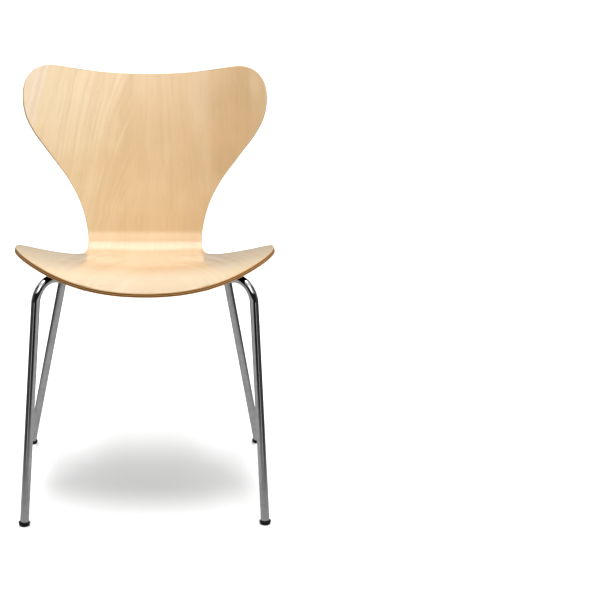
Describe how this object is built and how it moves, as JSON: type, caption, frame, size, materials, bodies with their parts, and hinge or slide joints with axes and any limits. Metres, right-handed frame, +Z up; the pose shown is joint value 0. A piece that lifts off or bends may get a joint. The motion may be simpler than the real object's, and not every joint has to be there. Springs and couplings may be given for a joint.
{
  "type": "stacking chair",
  "caption": "Stacking chair with a waisted one-piece moulded plywood seat and back, carried on four splayed bent steel tube legs that meet at a hub under the seat.",
  "frame": {"origin": "on the floor, in the middle of the chair's overall width and depth", "axes": "+Z up, -Y the way the sitter faces, +X the sitter's left"},
  "size_m": [0.4962, 0.5048, 0.7935],
  "materials": {
    "beech_plywood": "clear satin lacquer over pale straight-grained face veneer, layered brown edge",
    "block_plywood": "unfinished plywood, glued under the seat",
    "chrome_tube": "polished chrome plating",
    "zinc_steel": "bright zinc plating",
    "black_plastic": "fine matt moulding",
    "black_rubber": "matt"
  },
  "bodies": {
    "root": {"seat_shell": "beech_plywood", "mounting_block": "block_plywood", "hub_plate": "zinc_steel", "hub_cover": "black_plastic", "tee_nut_front": "zinc_steel", "tee_nut_rear": "zinc_steel", "tee_nut_left": "zinc_steel", "tee_nut_right": "zinc_steel", "washer_front": "zinc_steel", "washer_rear": "zinc_steel", "washer_left": "zinc_steel", "washer_right": "zinc_steel", "screw_front": "zinc_steel", "screw_rear": "zinc_steel", "screw_left": "zinc_steel", "screw_right": "zinc_steel", "leg_front_left": "chrome_tube", "leg_front_right": "chrome_tube", "leg_rear_left": "chrome_tube", "leg_rear_right": "chrome_tube", "buffer_front_left": "black_rubber", "buffer_front_right": "black_rubber", "buffer_rear_left": "black_rubber", "buffer_rear_right": "black_rubber", "glide_front_left": "black_plastic", "glide_front_right": "black_plastic", "glide_rear_left": "black_plastic", "glide_rear_right": "black_plastic"}
  },
  "joints": []
}
